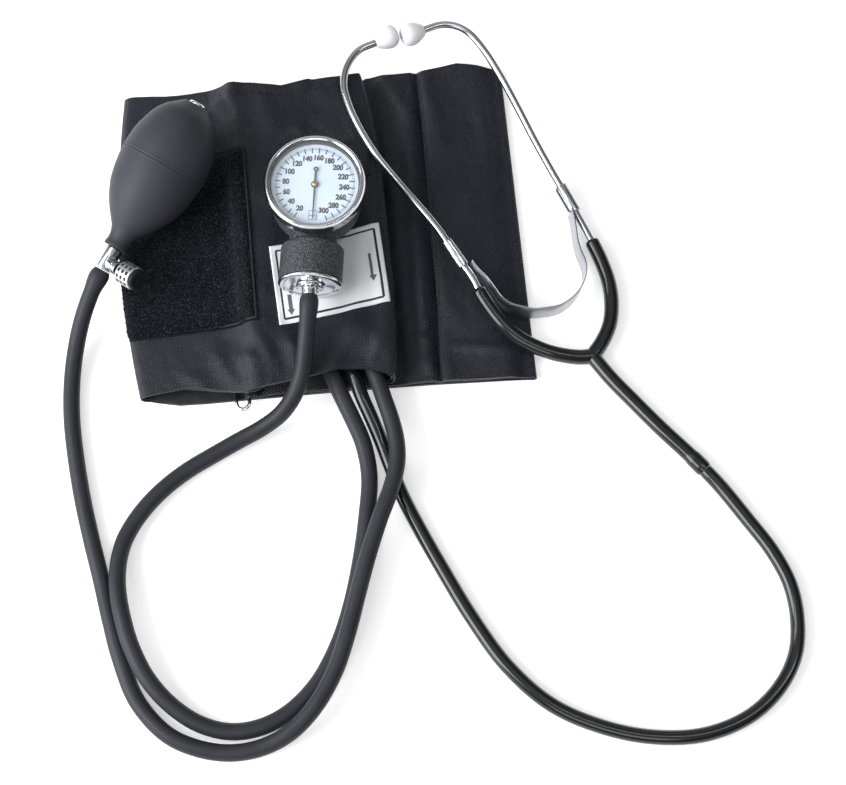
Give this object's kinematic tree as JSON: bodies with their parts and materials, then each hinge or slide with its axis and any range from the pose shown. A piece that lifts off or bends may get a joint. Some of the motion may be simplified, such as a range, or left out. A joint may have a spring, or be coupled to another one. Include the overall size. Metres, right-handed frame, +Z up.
{
  "type": "aneroid sphygmomanometer",
  "caption": "Blood pressure cuff folded flat, with round dial gauge, squeeze bulb with release valve, rubber hoses and a stethoscope.",
  "frame": {"origin": "on the cuff's flat underside, near the middle of the folded cuff, at the level of the surface it lies on", "axes": "+Z up out of the gauge's dial, +Y from the hose edge of the cuff towards its far edge, +X towards the right fold"},
  "size_m": [0.3488, 0.367, 0.0595],
  "materials": {
    "twill": "black woven twill, matt",
    "lining": "black coated lining cloth",
    "pile": "black brushed pile",
    "satin": "white satin with printed border and arrows",
    "rubber": "dark grey rubber, matt",
    "vinyl": "black vinyl, glossy",
    "chrome": "bright chrome plate",
    "crinkle": "black crinkle paint",
    "brass": "bare brass",
    "steel": "brushed steel",
    "dial_face": "pale blue-white paint with black scale",
    "ink": "black paint",
    "lens": "clear lens",
    "tip": "white soft plastic"
  },
  "bodies": {
    "cuff_assembly": {"cuff_outer_cloth": "twill", "cuff_inner_cloth": "lining", "bladder": "rubber", "bladder_port_gauge": "rubber", "bladder_port_bulb": "rubber", "loop_pad": "pile", "hook_pad": "pile", "size_label": "satin", "gauge_loop": "twill", "chest_body": "chrome", "chest_diaphragm": "tip", "chest_rim": "chrome", "gauge_housing": "crinkle", "gauge_flange": "chrome", "capsule": "brass", "hairspring": "steel", "lower_plate": "brass", "upper_plate": "brass", "plate_screw_1": "steel", "plate_screw_2": "steel", "plate_screw_3": "steel", "dial": "dial_face", "lens": "lens", "lens_gasket": "rubber", "bezel": "chrome", "bulb": "rubber", "inlet_valve": "chrome", "inlet_screen": "steel", "valve_body": "chrome", "needle_seal": "rubber", "gauge_hose": "rubber", "bulb_hose": "rubber", "chest_tube": "vinyl", "y_yoke": "vinyl", "leaf_spring": "steel"},
    "sector": {"sector_gear": "brass"},
    "pointer_set": {"pinion": "brass", "pointer": "ink", "pointer_hub": "brass"},
    "rod": {"push_rod": "steel"},
    "needle": {"valve_needle": "chrome"},
    "knob": {"valve_knob": "chrome", "knob_cap": "rubber"},
    "ball": {"inlet_ball": "steel"},
    "flap": {"outlet_flap": "rubber"},
    "ring": {"cuff_ring": "chrome"},
    "left_ear": {"ear_tube_left": "chrome", "ear_tip_left": "tip", "spring_clip_left": "chrome"},
    "right_ear": {"ear_tube_right": "chrome", "ear_tip_right": "tip", "spring_clip_right": "chrome"}
  },
  "joints": [
    {"name": "sector_rock", "type": "hinge", "parent": "cuff_assembly", "child": "sector", "pos_m": [-0.00898, -0.00849, 0.0423], "axis": [0, 0, 1], "range_deg": [0, 42.5]},
    {"name": "pointer_sweep", "type": "hinge", "parent": "cuff_assembly", "child": "pointer_set", "pos_m": [-0.0052, 0.0068, 0.0523], "axis": [0, 0, -1], "range_deg": [0, 340]},
    {"name": "push_rod_slide", "type": "slide", "parent": "cuff_assembly", "child": "rod", "axis": [0.0506, 0.9987, 0], "range_m": [0, 0.00218]},
    {"name": "needle_slide", "type": "slide", "parent": "cuff_assembly", "child": "needle", "axis": [0.729, -0.5554, 0.4], "range_m": [0, 0.00084]},
    {"name": "knob_turn", "type": "hinge", "parent": "needle", "child": "knob", "pos_m": [-0.10588, -0.02065, 0.02192], "axis": [0.729, -0.5554, 0.4], "range_deg": [0, 300]},
    {"name": "ball_slide", "type": "slide", "parent": "cuff_assembly", "child": "ball", "axis": [-0.4972, -0.8314, -0.2481], "range_m": [0, 0.001]},
    {"name": "flap_slide", "type": "slide", "parent": "cuff_assembly", "child": "flap", "axis": [-0.4972, -0.8314, -0.2481], "range_m": [0, 0.001]},
    {"name": "ring_hinge", "type": "hinge", "parent": "cuff_assembly", "child": "ring", "pos_m": [-0.04489, -0.00432, 0.0042], "axis": [-0.0958, 0.9954, 0], "range_deg": [0, 30]},
    {"name": "ear_spread_left", "type": "hinge", "parent": "cuff_assembly", "child": "left_ear", "pos_m": [0.07208, -0.03182, 0.01606], "axis": [0, 0, 1], "range_deg": [0, 10], "stiffness_Nm_per_rad": 0.4},
    {"name": "ear_spread_right", "type": "hinge", "parent": "cuff_assembly", "child": "right_ear", "pos_m": [0.12775, -0.00226, 0.00521], "axis": [0, 0, -1], "range_deg": [0, 18], "stiffness_Nm_per_rad": 0.4}
  ],
  "couplings": [
    {"joint": "sector_rock", "follows": "push_rod_slide", "rad_per_m": 340.25},
    {"joint": "pointer_sweep", "follows": "push_rod_slide", "rad_per_m": 2722},
    {"joint": "knob_turn", "follows": "needle_slide", "rad_per_m": 6233}
  ]
}
